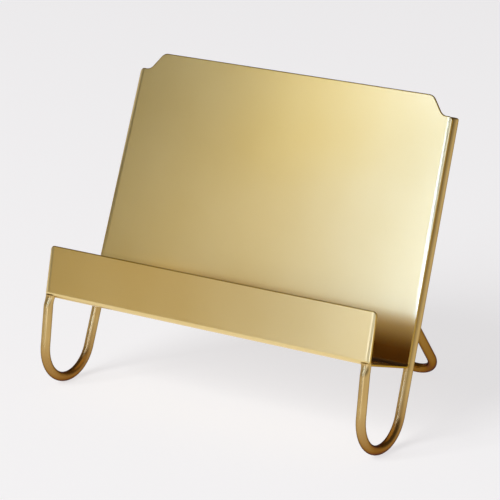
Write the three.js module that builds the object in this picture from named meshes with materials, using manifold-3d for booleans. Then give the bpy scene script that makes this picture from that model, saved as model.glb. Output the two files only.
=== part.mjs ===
// Tabletop display stand: one bent sheet (back panel, shelf and front lip) welded to four hairpin feet of
// round rod.
// Millimetres. X runs across the stand, Y from front to back, Z up, and the stand rests on Z = 0.
import * as THREE from 'three';
import { mergeVertices } from 'three/addons/utils/BufferGeometryUtils.js';
import Module from 'manifold-3d';

const wasm = await Module();
wasm.setup();

const degrees = THREE.MathUtils.degToRad;

// Sheet
const sheetThickness = 1.5;
const trayWidth = 280; // across the lip and the front of the shelf
const panelWidth = 276.6; // at the shelf bend; the panel tapers a little towards its top
const earSpan = 269.1; // across the two ears, so the side rods show past the panel
const panelHeight = 188.5; // along the panel, from the shelf bend to the top edge
const earHeight = 175.5; // along the panel, up to the small ear left beside each clipped corner
const earWidth = 8.5;
const clipWidth = 18.6; // from the ear's outer end to the end of the panel's top edge
const shelfDepth = 54;
const lipHeight = 36.5;
const bendRadius = 3; // of the middle of the sheet
const shelfBend = degrees(87.6); // how far the sheet is bent between panel and shelf
const lipBend = degrees(85.5); // and between shelf and lip
const earRounding = 3;
const clipRounding = 3;
const lipRounding = 3;
const sideRollRadius = 10.5; // the panel's side edges roll back softly over the rods
const sideRollAngle = degrees(20);
const sideRollStart = 5; // along the panel, just above the shelf bend
const sideTaper = Math.atan((panelWidth - earSpan) / 2 / earHeight);

// Stance
const panelTilt = degrees(19.8); // back from vertical
const frontBendHeight = 70; // from the table up to the bend between shelf and lip

// Rods
const rodRadius = 3.5;
const rodSides = 12;
const rodStep = 5; // distance between the rings of a rod
const sideRodX = trayWidth / 2 - rodRadius; // flush with the ends of the lip
const sideRodSetback = 5; // from the middle of the panel's sheet back to the side rod's axis
const sideRodToeIn = 4.1; // how far inwards the side rod leans between the table and the ear
const frontLegLean = degrees(8.4);
const rearLegSlope = degrees(52); // above the table
const rearLoopRadius = 19.2;
const rearLoopX = 64.4;
const rearLoopReach = 183; // from the front bend back to where the rear loops touch the table
const rearTailLength = 28; // stretch of each rear leg that lies along the back of the panel
const rearTailBend = 12;

// Welds
const gap = 0.3; // left between solids that touch
const weldRadius = 1.3;
const weldLength = 11;
const sideWeldHeights = [24, 92, 160]; // along the panel

const brushedBrass = new THREE.MeshStandardMaterial({ color: 0xcfae62, roughness: 0.38, metalness: 1 });
const rodBrass = new THREE.MeshStandardMaterial({ color: 0xbf9244, roughness: 0.28, metalness: 1 });
const weldBrass = new THREE.MeshStandardMaterial({ color: 0xa98443, roughness: 0.5, metalness: 1 });

// --- solids and back again

function toSolid(geometry) {
  const bare = geometry.clone();
  bare.deleteAttribute('normal');
  bare.deleteAttribute('uv');
  const merged = mergeVertices(bare);
  return new wasm.Manifold(new wasm.Mesh({
    numProp: 3,
    vertProperties: new Float32Array(merged.attributes.position.array),
    triVerts: new Uint32Array(merged.index.array),
  }));
}

function toGeometry(solid) {
  const mesh = solid.getMesh();
  const geometry = new THREE.BufferGeometry();
  geometry.setAttribute('position', new THREE.BufferAttribute(mesh.vertProperties, 3));
  geometry.setIndex(new THREE.BufferAttribute(mesh.triVerts, 1));
  return geometry;
}

// --- the sheet, in its own frame: X across, Y out of the panel's back, Z up the panel from the shelf bend

const panelHeading = Math.PI / 2;
const shelfHeading = panelHeading - shelfBend;
const lipHeading = shelfHeading - lipBend;

function along(heading, distance) {
  return new THREE.Vector2(Math.cos(heading), Math.sin(heading)).multiplyScalar(distance);
}

function leftOf(heading, distance) {
  return along(heading + Math.PI / 2, distance);
}

const shelfBendPoint = new THREE.Vector2(0, 0);
const lipBendPoint = shelfBendPoint.clone().sub(along(shelfHeading, shelfDepth));
const lipTopPoint = lipBendPoint.clone().sub(along(lipHeading, lipHeight));

function bendCentre(corner, headingBefore, turn) {
  const start = corner.clone().sub(along(headingBefore, bendRadius * Math.tan(turn / 2)));
  return start.add(leftOf(headingBefore, bendRadius));
}

const lipBendCentre = bendCentre(lipBendPoint, lipHeading, lipBend);
const shelfBendCentre = bendCentre(shelfBendPoint, shelfHeading, shelfBend);

// Runs along one face of the sheet from lip to panel; offset is how far that face lies outside the middle.
function traceOuterFace(shape, offset, panelEnd) {
  const start = lipTopPoint.clone().add(leftOf(lipHeading, -offset));
  const quarter = Math.PI / 2;
  const radius = bendRadius + offset;
  const [lip, shelf, panel] = [lipHeading - quarter, shelfHeading - quarter, panelHeading - quarter];
  shape.moveTo(start.x, start.y);
  shape.absarc(lipBendCentre.x, lipBendCentre.y, radius, lip, shelf, false);
  shape.absarc(shelfBendCentre.x, shelfBendCentre.y, radius, shelf, panel, false);
  shape.lineTo(offset, panelEnd);
}

function traceInnerFaceBack(shape, offset, panelEnd) {
  const end = lipTopPoint.clone().add(leftOf(lipHeading, offset));
  const quarter = Math.PI / 2;
  const radius = bendRadius - offset;
  const [lip, shelf, panel] = [lipHeading - quarter, shelfHeading - quarter, panelHeading - quarter];
  shape.lineTo(-offset, panelEnd);
  shape.absarc(shelfBendCentre.x, shelfBendCentre.y, radius, panel, shelf, true);
  shape.absarc(lipBendCentre.x, lipBendCentre.y, radius, shelf, lip, true);
  shape.lineTo(end.x, end.y);
}

// Turns a profile drawn in (Y, Z) into a solid of the given width, centred on X = 0.
function acrossStand(profile, width) {
  const bar = new THREE.ExtrudeGeometry(profile, { depth: width, bevelEnabled: false, curveSegments: 4 });
  bar.translate(0, 0, -width / 2);
  const swapAxes = new THREE.Matrix4().makeBasis(
    new THREE.Vector3(0, 1, 0),
    new THREE.Vector3(0, 0, 1),
    new THREE.Vector3(1, 0, 0),
  );
  return bar.applyMatrix4(swapAxes);
}

// Outline with rounded corners, symmetric about X = 0. Each corner of the right half is [x, y, rounding].
function symmetricOutline(rightHalf) {
  const leftHalf = rightHalf.map(([x, y, rounding]) => [-x, y, rounding]).reverse();
  const corners = [...rightHalf, ...leftHalf];
  const points = corners.map(([x, y]) => new THREE.Vector2(x, y));
  const shape = new THREE.Shape();
  points.forEach((point, i) => {
    const rounding = corners[i][2];
    const towards = (other) => other.clone().sub(point).setLength(rounding).add(point);
    const entry = towards(points.at(i - 1));
    const exit = towards(points[(i + 1) % points.length]);
    if (i === 0) {
      shape.moveTo(entry.x, entry.y);
    } else {
      shape.lineTo(entry.x, entry.y);
    }
    if (rounding > 0) {
      shape.quadraticCurveTo(point.x, point.y, exit.x, exit.y);
    }
  });
  return shape;
}

// Solid seen from the front as the outline, reaching from yFront to yBack.
function throughFront(outline, yFront, yBack) {
  const depth = yBack - yFront;
  const block = new THREE.ExtrudeGeometry(outline, { depth, bevelEnabled: false, curveSegments: 6 });
  return block.rotateX(Math.PI / 2).translate(0, yBack, 0);
}

// Leans both side edges of a strip in towards each other as they go up.
function taperSides(strip) {
  const points = strip.attributes.position;
  for (let i = 0; i < points.count; i += 1) {
    const leanIn = Math.sign(points.getX(i)) * points.getZ(i) * Math.tan(sideTaper);
    points.setX(i, points.getX(i) - leanIn);
  }
  return strip;
}

// Back panel with both side edges rolled back, cut to its outline with the clipped corners and ears.
function makePanelSolid() {
  const half = sheetThickness / 2;
  const rollX = panelWidth / 2 - (sideRollRadius + half) * Math.sin(sideRollAngle);
  const quarter = Math.PI / 2;
  const section = new THREE.Shape();
  const [front, back] = [sideRollRadius + half, sideRollRadius - half];
  section.absarc(-rollX, sideRollRadius, front, -quarter - sideRollAngle, -quarter, false);
  section.absarc(rollX, sideRollRadius, front, -quarter, -quarter + sideRollAngle, false);
  section.absarc(rollX, sideRollRadius, back, -quarter + sideRollAngle, -quarter, true);
  section.absarc(-rollX, sideRollRadius, back, -quarter, -quarter - sideRollAngle, true);
  const depth = panelHeight - sideRollStart;
  const strip = new THREE.ExtrudeGeometry(section, { depth, bevelEnabled: false, curveSegments: 3 });
  const panel = toSolid(taperSides(strip.translate(0, 0, sideRollStart)));
  const ear = earSpan / 2;
  const outline = symmetricOutline([
    [panelWidth / 2, 0, 0],
    [ear, earHeight, earRounding],
    [ear - earWidth, earHeight, earRounding],
    [ear - clipWidth, panelHeight, clipRounding],
  ]);
  return panel.intersect(toSolid(throughFront(outline, -sideRollRadius, sideRollRadius)));
}

// Lip and shelf, with the bend up into the panel. The lip's top corners are rounded and the shelf narrows
// rearwards.
function makeTraySolid() {
  const half = sheetThickness / 2;
  const overlap = 3;
  const profile = new THREE.Shape();
  traceOuterFace(profile, half, sideRollStart + overlap);
  traceInnerFaceBack(profile, half, sideRollStart + overlap);
  const lipOutline = symmetricOutline([
    [trayWidth / 2, -2 * lipHeight, 0],
    [trayWidth / 2, lipTopPoint.y, lipRounding],
  ]);
  const lipBlock = throughFront(lipOutline, -2 * shelfDepth, shelfDepth);
  const plan = symmetricOutline([
    [trayWidth / 2, -2 * shelfDepth, 0],
    [trayWidth / 2, lipBendPoint.x + bendRadius, 0],
    [panelWidth / 2, -bendRadius, 0],
    [panelWidth / 2, shelfDepth, 0],
  ]);
  const planBlock = new THREE.ExtrudeGeometry(plan, { depth: 4 * lipHeight, bevelEnabled: false });
  planBlock.translate(0, 0, -2 * lipHeight);
  const folded = toSolid(acrossStand(profile, trayWidth + 2));
  return folded.intersect(toSolid(lipBlock)).intersect(toSolid(planBlock));
}

// --- placing the tilted sheet in the stand

const shelfBendHeight = frontBendHeight + shelfDepth * Math.sin(shelfHeading - panelTilt);
const shelfBendY = shelfDepth * Math.cos(shelfHeading - panelTilt);
const sheetPlace = new THREE.Matrix4().makeRotationX(-panelTilt).setPosition(0, shelfBendY, shelfBendHeight);

function onSheet(x, behind, up) {
  return new THREE.Vector3(x, behind, up).applyMatrix4(sheetPlace);
}

// Everything from the channel between lip and panel out to just outside the sheet. Rods are cut to end
// under it.
function makeClearanceSolid() {
  const region = new THREE.Shape();
  traceOuterFace(region, sheetThickness / 2 + gap, panelHeight);
  return toSolid(acrossStand(region, 2 * trayWidth).applyMatrix4(sheetPlace));
}

// --- rods

class BendCurve extends THREE.Curve {
  constructor(start, centre, direction, turn) {
    super();
    this.centre = centre;
    this.spoke = start.clone().sub(centre);
    this.lead = direction.clone().multiplyScalar(this.spoke.length());
    this.turn = turn;
  }

  getPoint(t, target = new THREE.Vector3()) {
    const angle = t * this.turn;
    target.copy(this.centre).addScaledVector(this.spoke, Math.cos(angle));
    return target.addScaledVector(this.lead, Math.sin(angle));
  }
}

// Axis of a rod that runs through the corners and is bent to a radius at each inner one.
function rodAxis(corners, radii) {
  const axis = new THREE.CurvePath();
  let from = corners[0];
  for (let i = 1; i < corners.length - 1; i += 1) {
    const before = corners[i].clone().sub(corners[i - 1]).normalize();
    const after = corners[i + 1].clone().sub(corners[i]).normalize();
    const turn = before.angleTo(after);
    const setback = radii[i - 1] * Math.tan(turn / 2);
    const start = corners[i].clone().addScaledVector(before, -setback);
    const inward = after.clone().addScaledVector(before, -after.dot(before)).normalize();
    const centre = start.clone().addScaledVector(inward, radii[i - 1]);
    if (from.distanceTo(start) > 1e-3) {
      axis.add(new THREE.LineCurve3(from, start));
    }
    axis.add(new BendCurve(start, centre, before, turn));
    from = corners[i].clone().addScaledVector(after, setback);
  }
  axis.add(new THREE.LineCurve3(from, corners.at(-1)));
  return axis;
}

function rodAlong(axis) {
  const section = new THREE.Shape();
  section.absarc(0, 0, rodRadius, 0, 2 * Math.PI, false);
  const steps = Math.round(axis.getLength() / rodStep);
  return new THREE.ExtrudeGeometry(section, { steps, extrudePath: axis, curveSegments: rodSides / 2 });
}

// Axis of a side rod's straight rear stretch, from its corner at the table up to its end beside the ear.
function sideRodLine(side) {
  const x = side * sideRodX;
  const low = onSheet(x, sideRodSetback, 0);
  const foot = new THREE.Vector3(x, low.y - (low.z - rodRadius) * Math.tan(panelTilt), rodRadius);
  return new THREE.Line3(foot, onSheet(side * (sideRodX - sideRodToeIn), sideRodSetback, earHeight));
}

// From under the lip's end, round the front foot, and up behind the panel's side to the ear.
function makeSideRodSolid(side) {
  const { start: rearCorner, end: topEnd } = sideRodLine(side);
  const reach = (frontBendHeight - rodRadius) * Math.tan(frontLegLean);
  const frontCorner = new THREE.Vector3(rearCorner.x, -reach, rodRadius);
  const legTop = new THREE.Vector3(rearCorner.x, 0, frontBendHeight);
  const rise = topEnd.clone().sub(rearCorner).normalize();
  const [frontTurn, rearTurn] = [Math.PI / 2 + frontLegLean, Math.acos(rise.y)];
  const radius = (rearCorner.y - frontCorner.y) / (Math.tan(frontTurn / 2) + Math.tan(rearTurn / 2));
  const axis = rodAxis([legTop, frontCorner, rearCorner, topEnd], [radius, radius]);
  return toSolid(rodAlong(axis)).subtract(makeClearanceSolid());
}

const tailSetback = sheetThickness / 2 + gap + rodRadius;

// Height along the panel at which the rear legs' line meets the line of their tails.
function tailBendHeight() {
  const base = onSheet(0, tailSetback, 0);
  const run = rearLoopReach - base.y;
  const drop = base.z - rodRadius;
  return (run * Math.sin(rearLegSlope) - drop * Math.cos(rearLegSlope)) / Math.cos(rearLegSlope - panelTilt);
}

// Hairpin whose two legs lean forward and up from the table, then bend to lie along the panel's back.
function makeRearLegGeometry(side) {
  const tailBottom = tailBendHeight();
  const tailTop = tailBottom + rearTailBend + rearTailLength;
  const legX = [-1, 1].map((leg) => side * rearLoopX + leg * rearLoopRadius);
  const onTable = (x) => new THREE.Vector3(x, rearLoopReach, rodRadius);
  const corners = [
    onSheet(legX[0], tailSetback, tailTop),
    onSheet(legX[0], tailSetback, tailBottom),
    onTable(legX[0]),
    onTable(legX[1]),
    onSheet(legX[1], tailSetback, tailBottom),
    onSheet(legX[1], tailSetback, tailTop),
  ];
  return rodAlong(rodAxis(corners, [rearTailBend, rearLoopRadius, rearLoopRadius, rearTailBend]));
}

// --- welds: short beads in the groove between a rod and the sheet

const weldClear = gap + weldRadius;

// How far to the side of a rod's axis a bead lies, when both touch the same flat face but for the gap.
function weldOffset(rodSetback) {
  const rise = rodSetback - sheetThickness / 2 - weldClear;
  return Math.sqrt((rodRadius + weldClear) ** 2 - rise ** 2);
}

function makeWeldGeometry() {
  const bead = new THREE.SphereGeometry(weldRadius, 8, 6).rotateX(Math.PI / 2);
  return bead.scale(1, 1, weldLength / 2 / weldRadius);
}

function makeWeld(name, x, behind, up) {
  const weld = new THREE.Mesh(makeWeldGeometry(), weldBrass);
  weld.name = name;
  weld.position.set(x, behind, up);
  return weld;
}

const behindPanel = sheetThickness / 2 + weldClear;

// Three beads up the inner flank of a side rod, following its lean.
function addSideWelds(tilted, label, side) {
  const { start: foot, end: top } = sideRodLine(side).applyMatrix4(sheetPlace.clone().invert());
  const slant = (top.x - foot.x) / (top.z - foot.z);
  sideWeldHeights.forEach((height, i) => {
    const x = top.x + (height - top.z) * slant - side * weldOffset(sideRodSetback);
    const weld = makeWeld(`weld_side_${label}_${i + 1}`, x, behindPanel, height);
    weld.rotation.y = Math.atan(slant);
    tilted.add(weld);
  });
}

function addRearWelds(tilted, label, side) {
  const height = tailBendHeight() + rearTailBend + rearTailLength / 2;
  for (const [leg, legSide] of [['inner', -side], ['outer', side]]) {
    const legX = side * rearLoopX + legSide * rearLoopRadius;
    for (const [flank, flankSide] of [['a', -1], ['b', 1]]) {
      const x = legX + flankSide * weldOffset(tailSetback);
      tilted.add(makeWeld(`weld_rear_${label}_${leg}_${flank}`, x, behindPanel, height));
    }
  }
}

// Bead under the shelf, beside the top of the front leg and along the slope of the shelf.
function makeCornerWeld(label, side) {
  const rearwards = bendRadius + weldLength / 2 - rodRadius;
  const under = leftOf(shelfHeading, -behindPanel).add(lipBendPoint).add(along(shelfHeading, rearwards));
  const place = onSheet(side * (sideRodX - rodRadius - weldClear), under.x, under.y);
  const weld = makeWeld(`weld_corner_${label}`, place.x, place.y, place.z);
  weld.rotation.x = Math.PI / 2 + shelfHeading - panelTilt;
  return weld;
}

// --- the stand

function named(name, geometry, material) {
  const mesh = new THREE.Mesh(geometry, material);
  mesh.name = name;
  return mesh;
}

const stand = new THREE.Group();
const tilted = new THREE.Group();
tilted.rotation.x = -panelTilt;
tilted.position.set(0, shelfBendY, shelfBendHeight);
stand.add(tilted);

tilted.add(named('bent_sheet', toGeometry(makePanelSolid().add(makeTraySolid())), brushedBrass));

for (const [label, side] of [['left', -1], ['right', 1]]) {
  stand.add(named(`side_rod_${label}`, toGeometry(makeSideRodSolid(side)), rodBrass));
  stand.add(named(`rear_leg_${label}`, makeRearLegGeometry(side), rodBrass));
  stand.add(makeCornerWeld(label, side));
  addSideWelds(tilted, label, side);
  addRearWelds(tilted, label, side);
}

// The origin is the middle of the footprint, at table height.
const box = new THREE.Box3().setFromObject(stand, true);
stand.position.set(0, -(box.min.y + box.max.y) / 2, -box.min.z);

export default stand;
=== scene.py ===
import math

import bmesh
import bpy
from mathutils import Matrix, Vector


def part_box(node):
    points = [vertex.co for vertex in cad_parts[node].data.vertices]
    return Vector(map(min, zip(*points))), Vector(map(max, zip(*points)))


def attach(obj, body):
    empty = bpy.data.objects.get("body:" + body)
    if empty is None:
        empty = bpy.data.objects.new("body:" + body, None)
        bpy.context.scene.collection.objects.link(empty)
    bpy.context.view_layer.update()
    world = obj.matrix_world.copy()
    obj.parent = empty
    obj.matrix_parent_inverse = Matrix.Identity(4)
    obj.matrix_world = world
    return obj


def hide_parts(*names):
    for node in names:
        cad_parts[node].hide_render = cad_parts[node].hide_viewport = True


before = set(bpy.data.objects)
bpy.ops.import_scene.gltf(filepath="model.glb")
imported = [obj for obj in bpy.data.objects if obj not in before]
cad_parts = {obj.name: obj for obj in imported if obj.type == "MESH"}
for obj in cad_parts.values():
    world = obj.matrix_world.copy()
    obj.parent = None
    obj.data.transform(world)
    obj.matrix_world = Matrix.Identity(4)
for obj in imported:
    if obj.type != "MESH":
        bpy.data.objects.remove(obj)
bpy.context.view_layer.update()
print("frame loaded:", len(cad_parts), "nodes")

sheetLow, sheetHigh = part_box("bent_sheet")
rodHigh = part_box("side_rod_right")[1]
loopLow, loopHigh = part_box("rear_leg_right")

cameraSetting = {
    "azimuth": math.radians(35),
    "elevation": math.radians(16.34),
    "distance": 2.05,
    "target": Vector((0.0063, -0.0388, 0.1165)),
    "lens": 208.8,
    "clipEnd": 50,
}


def awayFrom(azimuth, elevation):
    # unit vector from the object towards a point at that azimuth (0 is the front) and elevation
    level = math.cos(elevation)
    return Vector((math.sin(azimuth) * level, -math.cos(azimuth) * level, math.sin(elevation)))


def addCamera(setting):
    data = bpy.data.cameras.new("camera")
    data.lens = setting["lens"]
    data.clip_end = setting["clipEnd"]
    camera = bpy.data.objects.new("camera", data)
    bpy.context.scene.collection.objects.link(camera)
    back = awayFrom(setting["azimuth"], setting["elevation"])
    camera.location = setting["target"] + back * setting["distance"]
    camera.rotation_euler = back.to_track_quat("Z", "Y").to_euler()
    bpy.context.scene.camera = camera


addCamera(cameraSetting)
print("camera placed")


def newMaterial(name):
    material = bpy.data.materials.new(name)
    material.use_nodes = True
    nodes = material.node_tree.nodes
    nodes.clear()
    output = nodes.new("ShaderNodeOutputMaterial")
    shader = nodes.new("ShaderNodeBsdfPrincipled")
    material.node_tree.links.new(shader.outputs["BSDF"], output.inputs["Surface"])
    return material, nodes, material.node_tree.links, shader


def objectPattern(nodes, links, stretch):
    # object coordinates in metres, stretched along the chosen directions
    place = nodes.new("ShaderNodeTexCoord")
    mapping = nodes.new("ShaderNodeMapping")
    mapping.inputs["Scale"].default_value = stretch
    links.new(place.outputs["Object"], mapping.inputs["Vector"])
    return mapping.outputs["Vector"]


def addNoise(nodes, links, vector, scale, detail, roughness=0.5):
    noise = nodes.new("ShaderNodeTexNoise")
    noise.inputs["Scale"].default_value = scale
    noise.inputs["Detail"].default_value = detail
    noise.inputs["Roughness"].default_value = roughness
    links.new(vector, noise.inputs["Vector"])
    return noise.outputs["Fac"]


def addRange(nodes, links, value, low, high, fromLow=0.3, fromHigh=0.7):
    spread = nodes.new("ShaderNodeMapRange")
    spread.inputs["From Min"].default_value = fromLow
    spread.inputs["From Max"].default_value = fromHigh
    spread.inputs["To Min"].default_value = low
    spread.inputs["To Max"].default_value = high
    links.new(value, spread.inputs["Value"])
    return spread.outputs["Result"]


def addBlend(nodes, links, factor, first, second):
    # each colour is either plain or another node's output
    mix = nodes.new("ShaderNodeMix")
    mix.data_type = "RGBA"
    for colour, socket in ((first, mix.inputs["A"]), (second, mix.inputs["B"])):
        if isinstance(colour, tuple):
            socket.default_value = (*colour, 1)
        else:
            links.new(colour, socket)
    links.new(factor, mix.inputs["Factor"])
    return mix.outputs["Result"]


def addHigher(nodes, links, first, second):
    higher = nodes.new("ShaderNodeMath")
    higher.operation = "MAXIMUM"
    links.new(first, higher.inputs[0])
    links.new(second, higher.inputs[1])
    return higher.outputs["Value"]


def addBump(nodes, links, height, distance, normal=None):
    bump = nodes.new("ShaderNodeBump")
    bump.inputs["Distance"].default_value = distance
    bump.inputs["Strength"].default_value = 1.0
    links.new(height, bump.inputs["Height"])
    if normal is not None:
        links.new(normal, bump.inputs["Normal"])
    return bump.outputs["Normal"]


def paintLowShade(nodes, links, tint, look):
    # painted shade: the colour darkens low down, standing in for shade in the sheet's fold and near the
    # floor, and a look may keep the front clear of it
    place = nodes.new("ShaderNodeTexCoord")
    split = nodes.new("ShaderNodeSeparateXYZ")
    links.new(place.outputs["Object"], split.inputs["Vector"])
    shown = addRange(nodes, links, split.outputs["Z"], 0, 1, *look["footRange"])
    if "footFront" in look:
        clear = addRange(nodes, links, split.outputs["Y"], 0, 1, *look["footFront"])
        shown = addHigher(nodes, links, shown, clear)
    return addBlend(nodes, links, shown, look["foot"], tint)


patternDetail = {
    "clouds": 3,
    "grain": 5,
    "grainFineness": 0.65,
    "waves": 1,
}


def makeBrass(name, look):
    # metal with soft clouds in colour and polish, fine brushed grain, and broad waves under a clear coat
    material, nodes, links, shader = newMaterial(name)
    shader.inputs["Metallic"].default_value = 1.0
    shader.inputs["Coat Weight"].default_value = look["coat"]
    shader.inputs["Coat Roughness"].default_value = look["coatRoughness"]
    shader.inputs["Specular Tint"].default_value = (*look["rim"], 1)
    plain = objectPattern(nodes, links, (1, 1, 1))
    brushed = objectPattern(nodes, links, look["brushing"])
    clouds = addNoise(nodes, links, plain, look["cloudScale"], patternDetail["clouds"])
    grain = addNoise(nodes, links, brushed, look["grainScale"], patternDetail["grain"],
                     patternDetail["grainFineness"])
    waves = addNoise(nodes, links, plain, look["waveScale"], patternDetail["waves"])
    tint = addBlend(nodes, links, addRange(nodes, links, clouds, 0, 1), look["deep"], look["light"])
    # painted shade: looks that carry a shade colour darken low down
    if "foot" in look:
        tint = paintLowShade(nodes, links, tint, look)
    links.new(tint, shader.inputs["Base Color"])
    polish = nodes.new("ShaderNodeMath")
    polish.operation = "ADD"
    links.new(addRange(nodes, links, clouds, look["smooth"], look["rough"]), polish.inputs[0])
    links.new(addRange(nodes, links, grain, -look["grainSpread"], look["grainSpread"]), polish.inputs[1])
    links.new(polish.outputs["Value"], shader.inputs["Roughness"])
    wavy = addBump(nodes, links, waves, look["waveHeight"])
    links.new(addBump(nodes, links, grain, look["grainHeight"], wavy), shader.inputs["Normal"])
    return material


sheetLook = {
    "light": (0.89, 0.69, 0.295),
    "deep": (0.84, 0.63, 0.245),
    "rim": (1.0, 0.93, 0.80),
    "coat": 1.0,
    "coatRoughness": 0.12,
    "brushing": (0.25, 1, 8),
    "cloudScale": 8,
    "grainScale": 120,
    "grainSpread": 0.003,
    "waveScale": 5,
    "smooth": 0.278,
    "rough": 0.300,
    "waveHeight": 0.00008,
    "grainHeight": 0.00000002,
}

# painted shade: the side towards the album darkens in the fold behind the shelf, where shade falls
foldShadeLook = sheetLook | {
    "foot": (0.27, 0.115, 0.015),
    "footRange": (0.065, 0.089),
    "footFront": (-0.045, -0.075),
}

# the softened edge all round, in a darker brown: a painted dark reflection along the sheet's edges
edgeLook = sheetLook | {
    "light": (0.60, 0.38, 0.08),
    "deep": (0.54, 0.33, 0.07),
    "rim": (0.30, 0.15, 0.03),
    "coat": 0.03,
}

rodLook = {
    "light": (0.68, 0.47, 0.175),
    "deep": (0.60, 0.40, 0.14),
    "rim": (0.06, 0.03, 0.01),
    # painted shade: the rod darkens over its lowest few centimetres, near the floor
    "foot": (0.27, 0.10, 0.006),
    "footRange": (-0.002, 0.040),
    "coat": 0.12,
    "coatRoughness": 0.2,
    "brushing": (1, 1, 0.2),
    "cloudScale": 30,
    "grainScale": 500,
    "grainSpread": 0.015,
    "waveScale": 40,
    "smooth": 0.30,
    "rough": 0.34,
    "waveHeight": 0.000004,
    "grainHeight": 0.00000004,
}

# painted shade: a darker copy of the rod brass for the rear loops behind the panel
rearShadedLook = rodLook | {
    "light": (0.44, 0.24, 0.05),
    "deep": (0.40, 0.21, 0.04),
    "foot": (0.30, 0.13, 0.012),
}

weldLook = {
    "light": (0.80, 0.60, 0.26),
    "deep": (0.70, 0.50, 0.20),
    "rim": (0.60, 0.45, 0.20),
    "coat": 0.5,
    "coatRoughness": 0.2,
    "brushing": (1, 1, 1),
    "cloudScale": 420,
    "grainScale": 1600,
    "grainSpread": 0.04,
    "waveScale": 700,
    "smooth": 0.38,
    "rough": 0.46,
    "waveHeight": 0.000004,
    "grainHeight": 0.0000002,
}

sheetBrass = makeBrass("satin_brass", sheetLook)
foldShadeBrass = makeBrass("satin_brass_inside_painted_fold_shade", foldShadeLook)
edgeBrass = makeBrass("edge_brass_painted_dark_reflection", edgeLook)
rodBrass = makeBrass("rod_brass", rodLook)
rearShadedBrass = makeBrass("rear_rod_brass_painted_shade", rearShadedLook)
weldBrass = makeBrass("weld_brass", weldLook)
print("materials made")


smoothAngle = math.radians(60)  # sharper turns stay as edges


def finishPiece(bm, name, material, nodes):
    mesh = bpy.data.meshes.new(name)
    bmesh.ops.recalc_face_normals(bm, faces=bm.faces)
    bm.to_mesh(mesh)
    bm.free()
    mesh.materials.append(material)
    mesh.shade_smooth()
    mesh.set_sharp_from_angle(angle=smoothAngle)
    piece = bpy.data.objects.new(name, mesh)
    bpy.context.scene.collection.objects.link(piece)
    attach(piece, "root")
    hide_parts(*nodes)
    return piece


sheetShape = {
    "thickness": 0.0015,
    "panelWidth": 0.2766,  # at the shelf bend
    "earSpan": 0.2691,
    "panelHeight": 0.1885,
    "earHeight": 0.1755,
    "earWidth": 0.0085,
    "clipWidth": 0.0186,
    "shelfDepth": 0.054,
    "lipHeight": 0.0365,
    "bendRadius": 0.003,  # of the middle of the sheet
    "shelfBend": math.radians(87.6),
    "lipBend": math.radians(85.5),
    "cornerRounding": 0.003,
    "cornerSteps": 6,
    "rollRadius": 0.0105,
    "rollAngle": math.radians(20),
    "rollStart": 0,
    "rollFull": 0.185,  # height at which the side edges have their full roll
    "lipRollAngle": math.radians(16),
    "lipRollFull": 0.006,
    "tilt": math.radians(19.8),
    "bendCuts": 12,
    "rollCuts": 10,
    "fieldCuts": (-0.08, 0, 0.08),
    "cutTolerance": 1e-7,
    "bendTolerance": 0.00005,
    "leastRoll": 0.001,
    "edgeThickness": 0.45,  # as a part of the full thickness
    "edgeBands": ((0.00025, 0.82), (0.0007, 1.0)),  # distance from the edge and part of the thickness there
    "endTrim": 0.00015,  # room for the lip's ends, which turn as they roll
}

halfThickness = sheetShape["thickness"] / 2
trayWidth = sheetHigh.x - sheetLow.x - 2 * sheetShape["endTrim"]
shelfSetback = sheetShape["bendRadius"] * math.tan(sheetShape["shelfBend"] / 2)
lipSetback = sheetShape["bendRadius"] * math.tan(sheetShape["lipBend"] / 2)

# the shelf bend, found from the panel's top edge
upPanel = Vector((0, math.sin(sheetShape["tilt"]), math.cos(sheetShape["tilt"])))
behindPanel = Vector((0, math.cos(sheetShape["tilt"]), -math.sin(sheetShape["tilt"])))
shelfBendPoint = Vector((0, sheetHigh.y, sheetHigh.z))
shelfBendPoint.y -= sheetShape["panelHeight"] * upPanel.y + halfThickness * behindPanel.y
shelfBendPoint.z -= sheetShape["panelHeight"] * upPanel.z - halfThickness * behindPanel.z


def onSheet(x, behind, up):
    return Vector((x, 0, 0)) + shelfBendPoint + behindPanel * behind + upPanel * up


# stretches of the sheet below the panel: length and how far the sheet turns in it
stretches = [
    (sheetShape["bendRadius"] * sheetShape["shelfBend"], -sheetShape["shelfBend"]),
    (sheetShape["shelfDepth"] - shelfSetback - lipSetback, 0),
    (sheetShape["bendRadius"] * sheetShape["lipBend"], -sheetShape["lipBend"]),
    (sheetShape["lipHeight"] - lipSetback, 0),
]
shelfBack = shelfSetback - stretches[0][0]
shelfFront = shelfBack - stretches[1][0]
blankBottom = shelfSetback - sum(length for length, turn in stretches)

# the panel's sides, and the strip along each of them that rolls back
sideX = sheetShape["panelWidth"] / 2
earX = sheetShape["earSpan"] / 2
taper = math.atan((sideX - earX) / sheetShape["earHeight"])
rollArc = sheetShape["rollRadius"] * sheetShape["rollAngle"]
rollReach = (sheetShape["rollRadius"] + halfThickness) * math.sin(sheetShape["rollAngle"])


def foldedPlace(distance):
    # depth, height and heading after walking that far down from the start of the shelf bend
    y, z, heading = 0.0, shelfSetback, -math.pi / 2
    for length, turn in stretches:
        step = min(distance, length)
        if turn:
            radius = length / turn
            after = heading + step / radius
            y += radius * (math.sin(after) - math.sin(heading))
            z -= radius * (math.cos(after) - math.cos(heading))
            heading = after
        else:
            y += math.cos(heading) * step
            z += math.sin(heading) * step
        distance -= step
        if distance <= 0:
            break
    return y, z, heading


def smoothStep(value, low, high):
    t = min(max((value - low) / (high - low), 0), 1)
    return t * t * (3 - 2 * t)


def cutAcross(bm, point, normal):
    geometry = bm.verts[:] + bm.edges[:] + bm.faces[:]
    bmesh.ops.bisect_plane(bm, geom=geometry, dist=sheetShape["cutTolerance"],
                           plane_co=point, plane_no=normal)


# the edge's slot is the last, so the wall's offsets leave its bands in it
sheetSlots = {"inside": 0, "outside": 1, "edge": 2}


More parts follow.
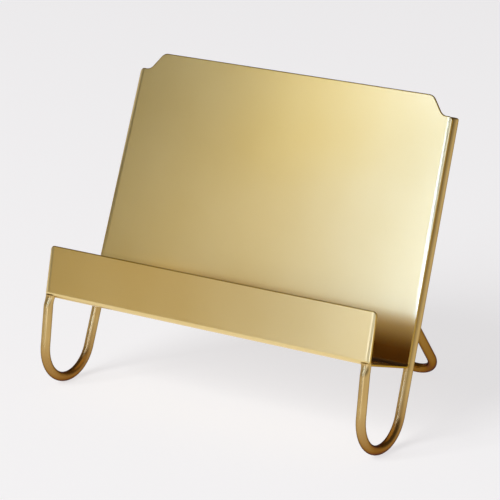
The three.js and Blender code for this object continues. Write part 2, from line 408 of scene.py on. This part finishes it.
def flatBlank():
    # the outline in the panel's plane, corner by corner, with which corners are rounded
    corners = [
        (trayWidth / 2, blankBottom, True),
        (trayWidth / 2, shelfFront, False),
        (sideX, shelfBack, False),
        (sideX, 0, False),
        (earX, sheetShape["earHeight"], True),
        (earX - sheetShape["earWidth"], sheetShape["earHeight"], True),
        (earX - sheetShape["clipWidth"], sheetShape["panelHeight"], True),
    ]
    corners += [(-x, z, rounded) for x, z, rounded in reversed(corners)]
    bm = bmesh.new()
    verts = [bm.verts.new((x, 0, z)) for x, z, rounded in corners]
    bm.faces.new(verts)
    roundedVerts = [vert for vert, corner in zip(verts, corners) if corner[2]]
    bmesh.ops.bevel(bm, geom=roundedVerts, offset=sheetShape["cornerRounding"], offset_type="OFFSET",
                    segments=sheetShape["cornerSteps"], profile=0.5, affect="VERTICES", material=-1)
    return bm


def softenEdge(bm):
    # narrow bands along the edge, where the sheet thins
    thickness = bm.verts.layers.deform.verify()
    for vert in bm.verts:
        vert[thickness][0] = sheetShape["edgeThickness"]
    field = bm.faces[:]
    reached = 0
    for distance, part in sheetShape["edgeBands"]:
        band = bmesh.ops.inset_region(bm, faces=field, thickness=distance - reached,
                                      use_boundary=True, use_even_offset=True)
        for face in band["faces"]:
            # the bands take the darker edge brass, a painted dark reflection
            face.material_index = sheetSlots["edge"]
        field = [face for face in bm.faces if face.material_index != sheetSlots["edge"]]
        for face in field:
            for vert in face.verts:
                vert[thickness][0] = part
        reached = distance

    # their corners lie exactly on the lines where bends start, so no slivers are cut there
    for vert in bm.verts:
        for bend in (0, shelfBack, shelfFront):
            if abs(vert.co.z - bend) < sheetShape["bendTolerance"]:
                vert.co.z = bend


def cutBends(bm):
    bottom = shelfSetback
    for length, turn in stretches:
        cuts = sheetShape["bendCuts"] if turn else 1
        for i in range(cuts):
            cutAcross(bm, (0, 0, bottom - length * i / cuts), (0, 0, 1))
        bottom -= length
    cuts = sheetShape["rollCuts"]
    for i in range(1, cuts + 1):
        cutAcross(bm, (0, 0, sheetShape["earHeight"] * i / (cuts + 1)), (0, 0, 1))
    for i in range(cuts):
        x = sideX - rollReach + rollArc * i / cuts
        cutAcross(bm, (x, 0, 0), (math.cos(taper), 0, math.sin(taper)))
        cutAcross(bm, (-x, 0, 0), (-math.cos(taper), 0, math.sin(taper)))
    for x in sheetShape["fieldCuts"]:
        cutAcross(bm, (x, 0, 0), (1, 0, 0))


def rollAndFold(bm):
    # the panel's sides and the lip's ends roll back, and the shelf and lip fold forward and up
    for vert in bm.verts:
        x, z = vert.co.x, vert.co.z
        behind = 0
        rollX = sideX - rollReach - z * math.tan(taper)
        past = abs(x) - rollX
        if z > 0:
            angle = sheetShape["rollAngle"] * smoothStep(z, sheetShape["rollStart"], sheetShape["rollFull"])
        else:
            angle = sheetShape["lipRollAngle"] * smoothStep(shelfFront - z, 0, sheetShape["lipRollFull"])
        if past > 0 and angle > sheetShape["leastRoll"]:
            radius = rollArc / angle
            vert.co.x = math.copysign(rollX + radius * math.sin(past / radius), x)
            behind = math.copysign(radius * (1 - math.cos(past / radius)), z)
        if z < shelfSetback:
            y, z, heading = foldedPlace(shelfSetback - z)
            vert.co.y = y - behind * math.sin(heading)
            vert.co.z = z + behind * math.cos(heading)
        else:
            vert.co.y = behind
    place = Matrix.Translation(shelfBendPoint) @ Matrix.Rotation(-sheetShape["tilt"], 4, "X")
    bmesh.ops.transform(bm, matrix=place, verts=bm.verts)


def makeSheet():
    bm = flatBlank()
    softenEdge(bm)
    cutBends(bm)
    rollAndFold(bm)
    sheet = finishPiece(bm, "sheet", foldShadeBrass, ["bent_sheet"])
    sheet.data.materials.append(sheetBrass)
    sheet.data.materials.append(edgeBrass)

    wall = sheet.modifiers.new("thickness", "SOLIDIFY")
    wall.thickness = sheetShape["thickness"]
    wall.offset = 0
    wall.use_even_offset = True
    wall.material_offset = sheetSlots["outside"]
    # the rim takes the darker edge brass too, a painted dark reflection
    wall.material_offset_rim = sheetSlots["edge"]
    wall.vertex_group = sheet.vertex_groups.new(name="thickness").name
    wall.thickness_vertex_group = 0
    weigh = sheet.modifiers.new("even shading", "WEIGHTED_NORMAL")
    weigh.keep_sharp = False


makeSheet()
print("sheet folded")


rodShape = {
    "radius": 0.00347,  # inside the frame's many-sided rod
    "sides": 32,
    "bendStep": math.radians(4),
    "sideSetback": 0.005,  # of a side rod behind the middle of the sheet
    "toeIn": 0.0041,  # of a side rod's top end
    "frontLean": math.radians(8.4),
    "loopSlope": math.radians(52),
    "tailBend": 0.012,
    "tailLength": 0.028,
    "gap": 0.0003,
    "sawnRounding": 0.0008,
    "earRounding": 0.0015,
    "legTopRounding": 0.0001,
    "roundingSteps": 6,
    "legDrop": 0.0075,  # below the lip bend, where the flare takes over
    "leastStraight": 1e-6,
}

rodRadius = rodShape["radius"]
lipBendPoint = shelfBendPoint.copy()
shelfSlope = math.pi / 2 - sheetShape["shelfBend"] - sheetShape["tilt"]
lipBendPoint.y -= sheetShape["shelfDepth"] * math.cos(shelfSlope)
lipBendPoint.z -= sheetShape["shelfDepth"] * math.sin(shelfSlope)


def ringOf(geometry):
    edges = [part for part in geometry if isinstance(part, bmesh.types.BMEdge)]
    verts = [part for part in geometry if isinstance(part, bmesh.types.BMVert)]
    return edges, verts


def lengthenRod(bm, edges, step):
    grown = bmesh.ops.extrude_edge_only(bm, edges=edges)
    edges, verts = ringOf(grown["geom"])
    newEdges = [edge for edge in edges if all(vert in verts for vert in edge.verts)]
    bmesh.ops.translate(bm, verts=verts, vec=step)
    return newEdges, verts


def bendRod(corners, radii, startRounding, endRounding):
    # a round bar drawn along the corners, straight between them and bent to a radius at each inner one
    bm = bmesh.new()
    here = corners[0]
    heading = (corners[1] - here).normalized()
    place = Matrix.Translation(here) @ heading.to_track_quat("Z", "X").to_matrix().to_4x4()
    first = bmesh.ops.create_circle(bm, segments=rodShape["sides"], radius=rodRadius, matrix=place)
    verts = first["verts"]
    startEdges = list(bm.edges)
    edges = startEdges
    for i, radius in enumerate(radii):
        corner = corners[i + 1]
        before = (corner - corners[i]).normalized()
        after = (corners[i + 2] - corner).normalized()
        turn = before.angle(after)
        setback = radius * math.tan(turn / 2)
        start = corner - before * setback
        if (start - here).length > rodShape["leastStraight"]:
            edges, verts = lengthenRod(bm, edges, start - here)
        axis = before.cross(after).normalized()
        centre = start + axis.cross(before) * radius
        steps = math.ceil(turn / rodShape["bendStep"])
        spun = bmesh.ops.spin(bm, geom=verts + edges, cent=centre, axis=axis, angle=turn, steps=steps)
        edges, verts = ringOf(spun["geom_last"])
        here = corner + after * setback
    edges, verts = lengthenRod(bm, edges, corners[-1] - here)
    for rim, rounding in ((startEdges, startRounding), (edges, endRounding)):
        bmesh.ops.edgeloop_fill(bm, edges=rim)
        bmesh.ops.bevel(bm, geom=rim, offset=rounding, offset_type="OFFSET",
                        segments=rodShape["roundingSteps"], profile=0.5, affect="EDGES", material=-1)
    return bm


def sideRod(side):
    x = side * (rodHigh.x - rodRadius)
    setback = rodShape["sideSetback"]
    topEnd = onSheet(x - side * rodShape["toeIn"], setback, sheetShape["earHeight"])
    lowEnd = onSheet(x, setback, 0)
    rearCorner = Vector((x, lowEnd.y - (lowEnd.z - rodRadius) * math.tan(sheetShape["tilt"]), rodRadius))
    lean = math.tan(rodShape["frontLean"])
    frontCorner = Vector((x, lipBendPoint.y - (lipBendPoint.z - rodRadius) * lean, rodRadius))
    drop = rodShape["legDrop"]
    legTop = Vector((x, lipBendPoint.y - drop * lean, lipBendPoint.z - drop))
    frontTurn = math.pi / 2 + rodShape["frontLean"]
    rearTurn = math.acos((topEnd - rearCorner).normalized().y)
    radius = (rearCorner.y - frontCorner.y) / (math.tan(frontTurn / 2) + math.tan(rearTurn / 2))
    corners = [legTop, frontCorner, rearCorner, topEnd]
    return bendRod(corners, [radius, radius], rodShape["legTopRounding"], rodShape["earRounding"])


def rearLeg(side):
    centreX = (loopHigh.x + loopLow.x) / 2
    loopRadius = (loopHigh.x - loopLow.x) / 2 - rodRadius
    reach = loopHigh.y - rodRadius
    setback = halfThickness + rodShape["gap"] + rodRadius
    base = onSheet(0, setback, 0)
    run = reach - base.y
    drop = base.z - rodRadius
    slope = rodShape["loopSlope"]
    bendHeight = (run * math.sin(slope) - drop * math.cos(slope)) / math.cos(slope - sheetShape["tilt"])
    top = bendHeight + rodShape["tailBend"] + rodShape["tailLength"]
    legs = [side * centreX - loopRadius, side * centreX + loopRadius]
    corners = [
        onSheet(legs[0], setback, top),
        onSheet(legs[0], setback, bendHeight),
        Vector((legs[0], reach, rodRadius)),
        Vector((legs[1], reach, rodRadius)),
        onSheet(legs[1], setback, bendHeight),
        onSheet(legs[1], setback, top),
    ]
    radii = [rodShape["tailBend"], loopRadius, loopRadius, rodShape["tailBend"]]
    return bendRod(corners, radii, rodShape["sawnRounding"], rodShape["sawnRounding"])


for label, side in (("left", -1), ("right", 1)):
    finishPiece(sideRod(side), f"side_wire_{label}", rodBrass, [f"side_rod_{label}"])
    finishPiece(rearLeg(side), f"rear_wire_{label}", rearShadedBrass, [f"rear_leg_{label}"])
print("rods bent")


weldShape = {
    "radius": 0.00135,
    "length": 0.011,
    "ripple": 0.07,
    "rippleLength": 0.0011,
    "beadSides": 16,
    "beadRings": 48,
    "flareDrop": 0.0076,
    "flareRise": 0.0008,
    "flareRings": 13,
    "flareSide": 0.0013,
    "flareFront": 0.0012,
}


def rippledBead(middle, heading):
    # a short run of weld, a little swollen where each drop set
    bm = bmesh.new()
    bmesh.ops.create_uvsphere(bm, u_segments=weldShape["beadSides"], v_segments=weldShape["beadRings"],
                              radius=1)
    for vert in bm.verts:
        along = vert.co.z * weldShape["length"] / 2
        swell = 1 + weldShape["ripple"] * math.cos(2 * math.pi * along / weldShape["rippleLength"])
        width = weldShape["radius"] * swell
        vert.co = Vector((vert.co.x * width, vert.co.y * width, along))
    place = Matrix.Translation(middle) @ heading.to_track_quat("Z", "X").to_matrix().to_4x4()
    bmesh.ops.transform(bm, matrix=place, verts=bm.verts)
    return bm


def flaredTop(side):
    # the ground weld that carries a front leg into the bend of the sheet, wider towards the middle
    bm = bmesh.new()
    x = side * (rodHigh.x - rodRadius)
    rings = []
    for i in range(weldShape["flareRings"]):
        t = i / (weldShape["flareRings"] - 1)
        z = lipBendPoint.z - weldShape["flareDrop"] + t * (weldShape["flareDrop"] + weldShape["flareRise"])
        axis = lipBendPoint.y - (lipBendPoint.z - z) * math.tan(rodShape["frontLean"])
        front = axis - rodRadius
        front += (lipBendPoint.y - weldShape["flareFront"] - front) * smoothStep(t, 0, 1)
        back = axis + rodRadius
        flare = weldShape["flareSide"] * t * t
        width = rodRadius + flare / 2
        place = Matrix.Translation((x - side * flare / 2, (front + back) / 2, z))
        place = place @ Matrix.Diagonal((width, (back - front) / 2, 1, 1))
        ring = bmesh.ops.create_circle(bm, segments=rodShape["sides"], radius=1, matrix=place)
        rings.append(ring["verts"])
    bmesh.ops.bridge_loops(bm, edges=bm.edges[:])
    for verts in (rings[0], rings[-1]):
        bmesh.ops.contextual_create(bm, geom=verts)
    return bm


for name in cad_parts:
    if name.startswith("weld_corner"):
        side = 1 if name.endswith("right") else -1
        bead, brass = flaredTop(side), rodBrass
    elif name.startswith("weld_"):
        low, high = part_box(name)
        bead, brass = rippledBead((low + high) / 2, upPanel), weldBrass
    else:
        continue
    finishPiece(bead, name.replace("weld", "bead"), brass, [name])
print("welds finished")


studio = {
    "floorSize": 30,
    "floorColour": (0.28, 0.28, 0.28),
    "floorLift": 0.69,
    "liftColour": (1.0, 0.985, 1.005),
    "horizon": (0.86, 0.86, 0.86),
    "overhead": (0.11, 0.10, 0.085),
    "fadeFrom": 0.05,
    "fadeTo": 0.5,
}


def addStage(name, material, width, height, place):
    bm = bmesh.new()
    bmesh.ops.create_grid(bm, x_segments=1, y_segments=1, size=0.5)
    bmesh.ops.scale(bm, vec=(width, height, 1), verts=bm.verts)
    bmesh.ops.transform(bm, matrix=place, verts=bm.verts)
    mesh = bpy.data.meshes.new(name)
    bm.to_mesh(mesh)
    bm.free()
    mesh.materials.append(material)
    board = bpy.data.objects.new(name, mesh)
    bpy.context.scene.collection.objects.link(board)
    return board


def paleFloorMaterial():
    # matte and shadowed, and a little lighter for the camera and in reflections
    material = bpy.data.materials.new("pale_floor")
    material.use_nodes = True
    nodes = material.node_tree.nodes
    links = material.node_tree.links
    nodes.clear()
    output = nodes.new("ShaderNodeOutputMaterial")
    matte = nodes.new("ShaderNodeBsdfDiffuse")
    matte.inputs["Color"].default_value = (*studio["floorColour"], 1)
    lift = nodes.new("ShaderNodeEmission")
    lift.inputs["Color"].default_value = (*studio["liftColour"], 1)
    path = nodes.new("ShaderNodeLightPath")
    seen = path.outputs["Is Camera Ray"]
    for ray in ("Is Glossy Ray", "Is Transmission Ray"):
        seen = addHigher(nodes, links, seen, path.outputs[ray])
    strength = nodes.new("ShaderNodeMath")
    strength.operation = "MULTIPLY"
    strength.inputs[1].default_value = studio["floorLift"]
    links.new(seen, strength.inputs[0])
    links.new(strength.outputs["Value"], lift.inputs["Strength"])
    both = nodes.new("ShaderNodeAddShader")
    links.new(matte.outputs["BSDF"], both.inputs[0])
    links.new(lift.outputs["Emission"], both.inputs[1])
    links.new(both.outputs["Shader"], output.inputs["Surface"])
    return material


def matteMaterial(name, colour):
    material, nodes, links, shader = newMaterial(name)
    shader.inputs["Base Color"].default_value = (*colour, 1)
    shader.inputs["Roughness"].default_value = 0.9
    return material


def addWorld():
    world = bpy.data.worlds.new("studio")
    bpy.context.scene.world = world
    world.use_nodes = True
    nodes = world.node_tree.nodes
    links = world.node_tree.links
    nodes.clear()
    output = nodes.new("ShaderNodeOutputWorld")
    background = nodes.new("ShaderNodeBackground")
    place = nodes.new("ShaderNodeTexCoord")
    split = nodes.new("ShaderNodeSeparateXYZ")
    links.new(place.outputs["Generated"], split.inputs["Vector"])
    height = addRange(nodes, links, split.outputs["Z"], 0, 1, studio["fadeFrom"], studio["fadeTo"])
    sky = addBlend(nodes, links, height, studio["horizon"], studio["overhead"])
    links.new(sky, background.inputs["Color"])
    background.inputs["Strength"].default_value = 1.0
    links.new(background.outputs["Background"], output.inputs["Surface"])


# lamps on metal show only in reflections, and the others light only matt surfaces
lamps = {
    "key": {"centre": (-0.40, -1.2, 0.56), "size": (0.20, 0.34),
            "radiance": 5.4, "colour": (0.69, 1.0, 2.2), "onMetal": True},
    "key_low": {"centre": (-0.40, -1.2, 0.22), "size": (0.20, 0.30),
                "radiance": 2.8, "colour": (0.91, 1.0, 1.3), "onMetal": True},
    "key_top": {"centre": (-0.50, -1.2, 1.05), "size": (0.40, 0.50),
                "radiance": 3.5, "colour": (0.72, 1.04, 2.1), "onMetal": True},
    "fill": {"centre": (-0.80, -1.2, 0.52), "size": (0.50, 0.26),
             "radiance": 0.76, "colour": (1.0, 0.88, 0.52), "onMetal": True},
    "fill_low": {"centre": (-0.85, -1.2, 0.22), "size": (0.40, 0.30),
                 "radiance": 0.50, "colour": (1.0, 0.68, 0.05), "onMetal": True},
    "fill_top": {"centre": (-0.80, -1.2, 0.975), "size": (0.20, 0.65),
                 "radiance": 1.75, "colour": (0.99, 0.82, 0.14), "onMetal": True},
    "front": {"centre": (0.20, -1.2, 0.45), "size": (0.36, 0.90),
              "radiance": 1.6, "colour": (1.05, 1.22, 1.85), "onMetal": True},
    "top": {"centre": (-1.08, -4.32, 3.23), "towards": (0, 0, 0), "size": (3.0, 3.0),
            "radiance": 10.0, "colour": (1.0, 1.0, 1.0), "onMetal": False},
}

# dark boards that only reflections see
flags = {
    "back_flag": {"centre": (-1.0, -1.5, 0.75), "size": (2.7, 1.7), "colour": (0.05, 0.045, 0.04)},
}


def facing(setting):
    # straight back towards the stand, or at a point if one is given
    centre = Vector(setting["centre"])
    away = centre - Vector(setting.get("towards", (centre.x, 0, centre.z)))
    turn = away.to_track_quat("Z", "Y")
    return Matrix.Translation(centre) @ turn.to_matrix().to_4x4()


def addLamp(name, setting):
    data = bpy.data.lights.new(name, "AREA")
    data.shape = "RECTANGLE"
    data.size, data.size_y = setting["size"]
    data.energy = setting["radiance"] * math.pi * data.size * data.size_y
    lamp = bpy.data.objects.new(name, data)
    bpy.context.scene.collection.objects.link(lamp)
    lamp.matrix_world = facing(setting)
    data.color = setting["colour"]
    lamp.visible_glossy = setting["onMetal"]
    lamp.visible_diffuse = not setting["onMetal"]


addStage("floor", paleFloorMaterial(), studio["floorSize"], studio["floorSize"], Matrix.Identity(4))
addWorld()
for name, setting in lamps.items():
    addLamp(name, setting)
for name, setting in flags.items():
    flag = addStage(name, matteMaterial(name, setting["colour"]), *setting["size"], facing(setting))
    flag.visible_camera = False
    flag.visible_diffuse = False
    flag.visible_shadow = False
bpy.context.scene.view_settings.view_transform = "Standard"
print("studio lit")
